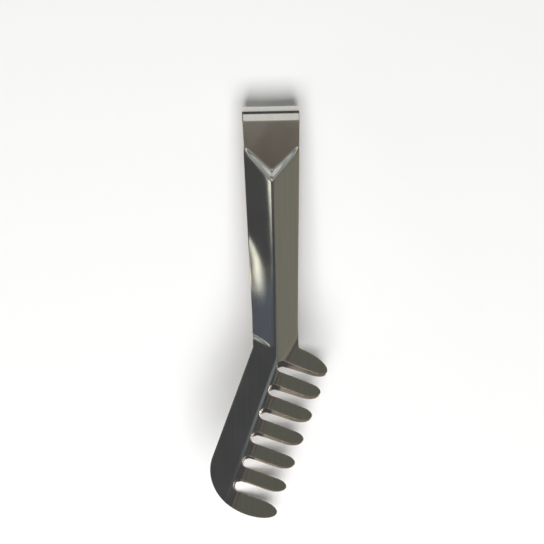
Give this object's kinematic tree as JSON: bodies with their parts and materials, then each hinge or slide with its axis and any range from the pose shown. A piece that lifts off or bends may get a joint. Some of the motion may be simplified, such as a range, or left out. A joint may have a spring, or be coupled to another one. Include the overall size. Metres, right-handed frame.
{
  "type": "spaghetti tongs",
  "caption": "One-piece sprung steel tongs: a folded strip with two ridged handles and two slanted combs of bent teeth.",
  "frame": {"origin": "middle of the bounding box's underside, on the table that the rear arm lies on", "axes": "+Y along the handle from the comb up to the fold, +X across it towards the teeth's side, +Z away from the table, from the rear arm to the front arm"},
  "size_m": [0.0592, 0.2116, 0.0649],
  "materials": {
    "fold_steel": "bright, finely brushed along the strip",
    "front_arm_steel": "finely brushed along the handle, satin, with polished cut edges",
    "rear_arm_steel": "finely brushed along the handle, satin, with polished cut edges"
  },
  "bodies": {
    "fold": {"spring_bend": "fold_steel"},
    "front": {"front_arm": "front_arm_steel"},
    "rear": {"rear_arm": "rear_arm_steel"}
  },
  "joints": [
    {"name": "front_arm_flex", "type": "hinge", "parent": "fold", "child": "front", "pos_m": [0.00385, 0.09765, 0.02251], "axis": [1, 0, 0], "range_deg": [-3, 4.5], "stiffness_Nm_per_rad": 6.5},
    {"name": "rear_arm_flex", "type": "hinge", "parent": "fold", "child": "rear", "pos_m": [0.00385, 0.09575, 0.0037], "axis": [-1, 0, 0], "range_deg": [-3, 4.5], "stiffness_Nm_per_rad": 6.5}
  ],
  "couplings": [
    {"joint": "rear_arm_flex", "follows": "front_arm_flex", "ratio": 1}
  ]
}
